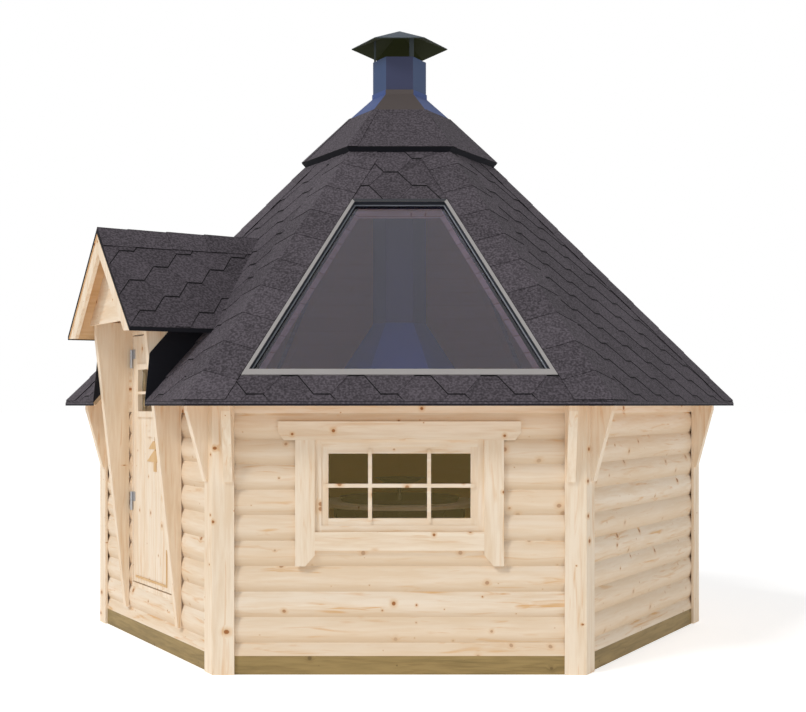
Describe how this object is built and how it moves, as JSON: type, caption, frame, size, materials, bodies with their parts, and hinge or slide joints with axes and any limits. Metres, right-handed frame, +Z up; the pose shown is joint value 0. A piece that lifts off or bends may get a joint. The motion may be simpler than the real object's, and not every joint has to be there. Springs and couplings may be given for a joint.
{
  "type": "barbecue hut",
  "caption": "Hexagonal log hut with a hip roof, glazed roof slope, chimney, grill and a door under a dormer.",
  "frame": {"origin": "on the ground at the middle of the plan", "axes": "+Z up, -Y out of the wall with the window, +X to the right as seen from there"},
  "size_m": [4.24, 3.672, 3.7433],
  "materials": {
    "log_wood": "planed spruce logs with a clear finish",
    "board_wood": "planed spruce boards with a clear finish",
    "treated_wood": "pressure treated, green-brown",
    "inner_wood": "planed",
    "shingle": "mineral granules on bitumen",
    "sheet_metal": "satin dark paint",
    "skylight_metal": "brushed",
    "tinted_glass": "tinted",
    "black_iron": "matt black",
    "zinc": "zinc plated"
  },
  "bodies": {
    "hut": {"back_wall": "log_wood", "base_frame": "treated_wood", "cheek_upstands": "shingle", "chimney_hat": "sheet_metal", "chimney_pipe": "sheet_metal", "corner_posts": "board_wood", "crown_battens": "shingle", "crown_flashing": "sheet_metal", "crown_roof": "shingle", "door_cheeks": "board_wood", "door_frame": "board_wood", "door_sill_wall": "log_wood", "door_wall_left": "log_wood", "door_wall_right": "log_wood", "dormer_barge_boards": "board_wood", "dormer_gable": "board_wood", "dormer_roof_left": "shingle", "dormer_roof_right": "shingle", "eave_brackets": "board_wood", "floor_deck": "inner_wood", "floor_joists": "treated_wood", "frame_hinges": "zinc", "front_wall": "log_wood", "griddle_pan": "black_iron", "grill_bowl": "black_iron", "grill_table": "inner_wood", "head_wall": "board_wood", "hip_rafters": "inner_wood", "left_back_wall": "log_wood", "right_back_wall": "log_wood", "right_front_wall": "log_wood", "roof_back": "shingle", "roof_collar": "inner_wood", "roof_door_side": "shingle", "roof_front": "shingle", "roof_left_back": "shingle", "roof_right_back": "shingle", "roof_right_front": "shingle", "skylight_frame": "skylight_metal", "skylight_glass": "tinted_glass", "skylight_trimmers": "inner_wood", "smoke_hood": "sheet_metal", "table_arms": "inner_wood", "wall_top_rails": "board_wood", "window_casing": "board_wood", "window_frame": "board_wood", "window_glass": "tinted_glass", "window_sash": "board_wood", "window_side_boards": "board_wood"},
    "door": {"door_leaf": "board_wood", "door_glass": "tinted_glass", "door_trim": "board_wood", "leaf_hinges": "zinc", "door_handle": "zinc"}
  },
  "joints": [
    {"name": "door_hinge", "type": "hinge", "parent": "hut", "child": "door", "pos_m": [-1.60351, -0.46853, 1.05], "axis": [0, 0, -1], "range_deg": [0, 90]}
  ]
}
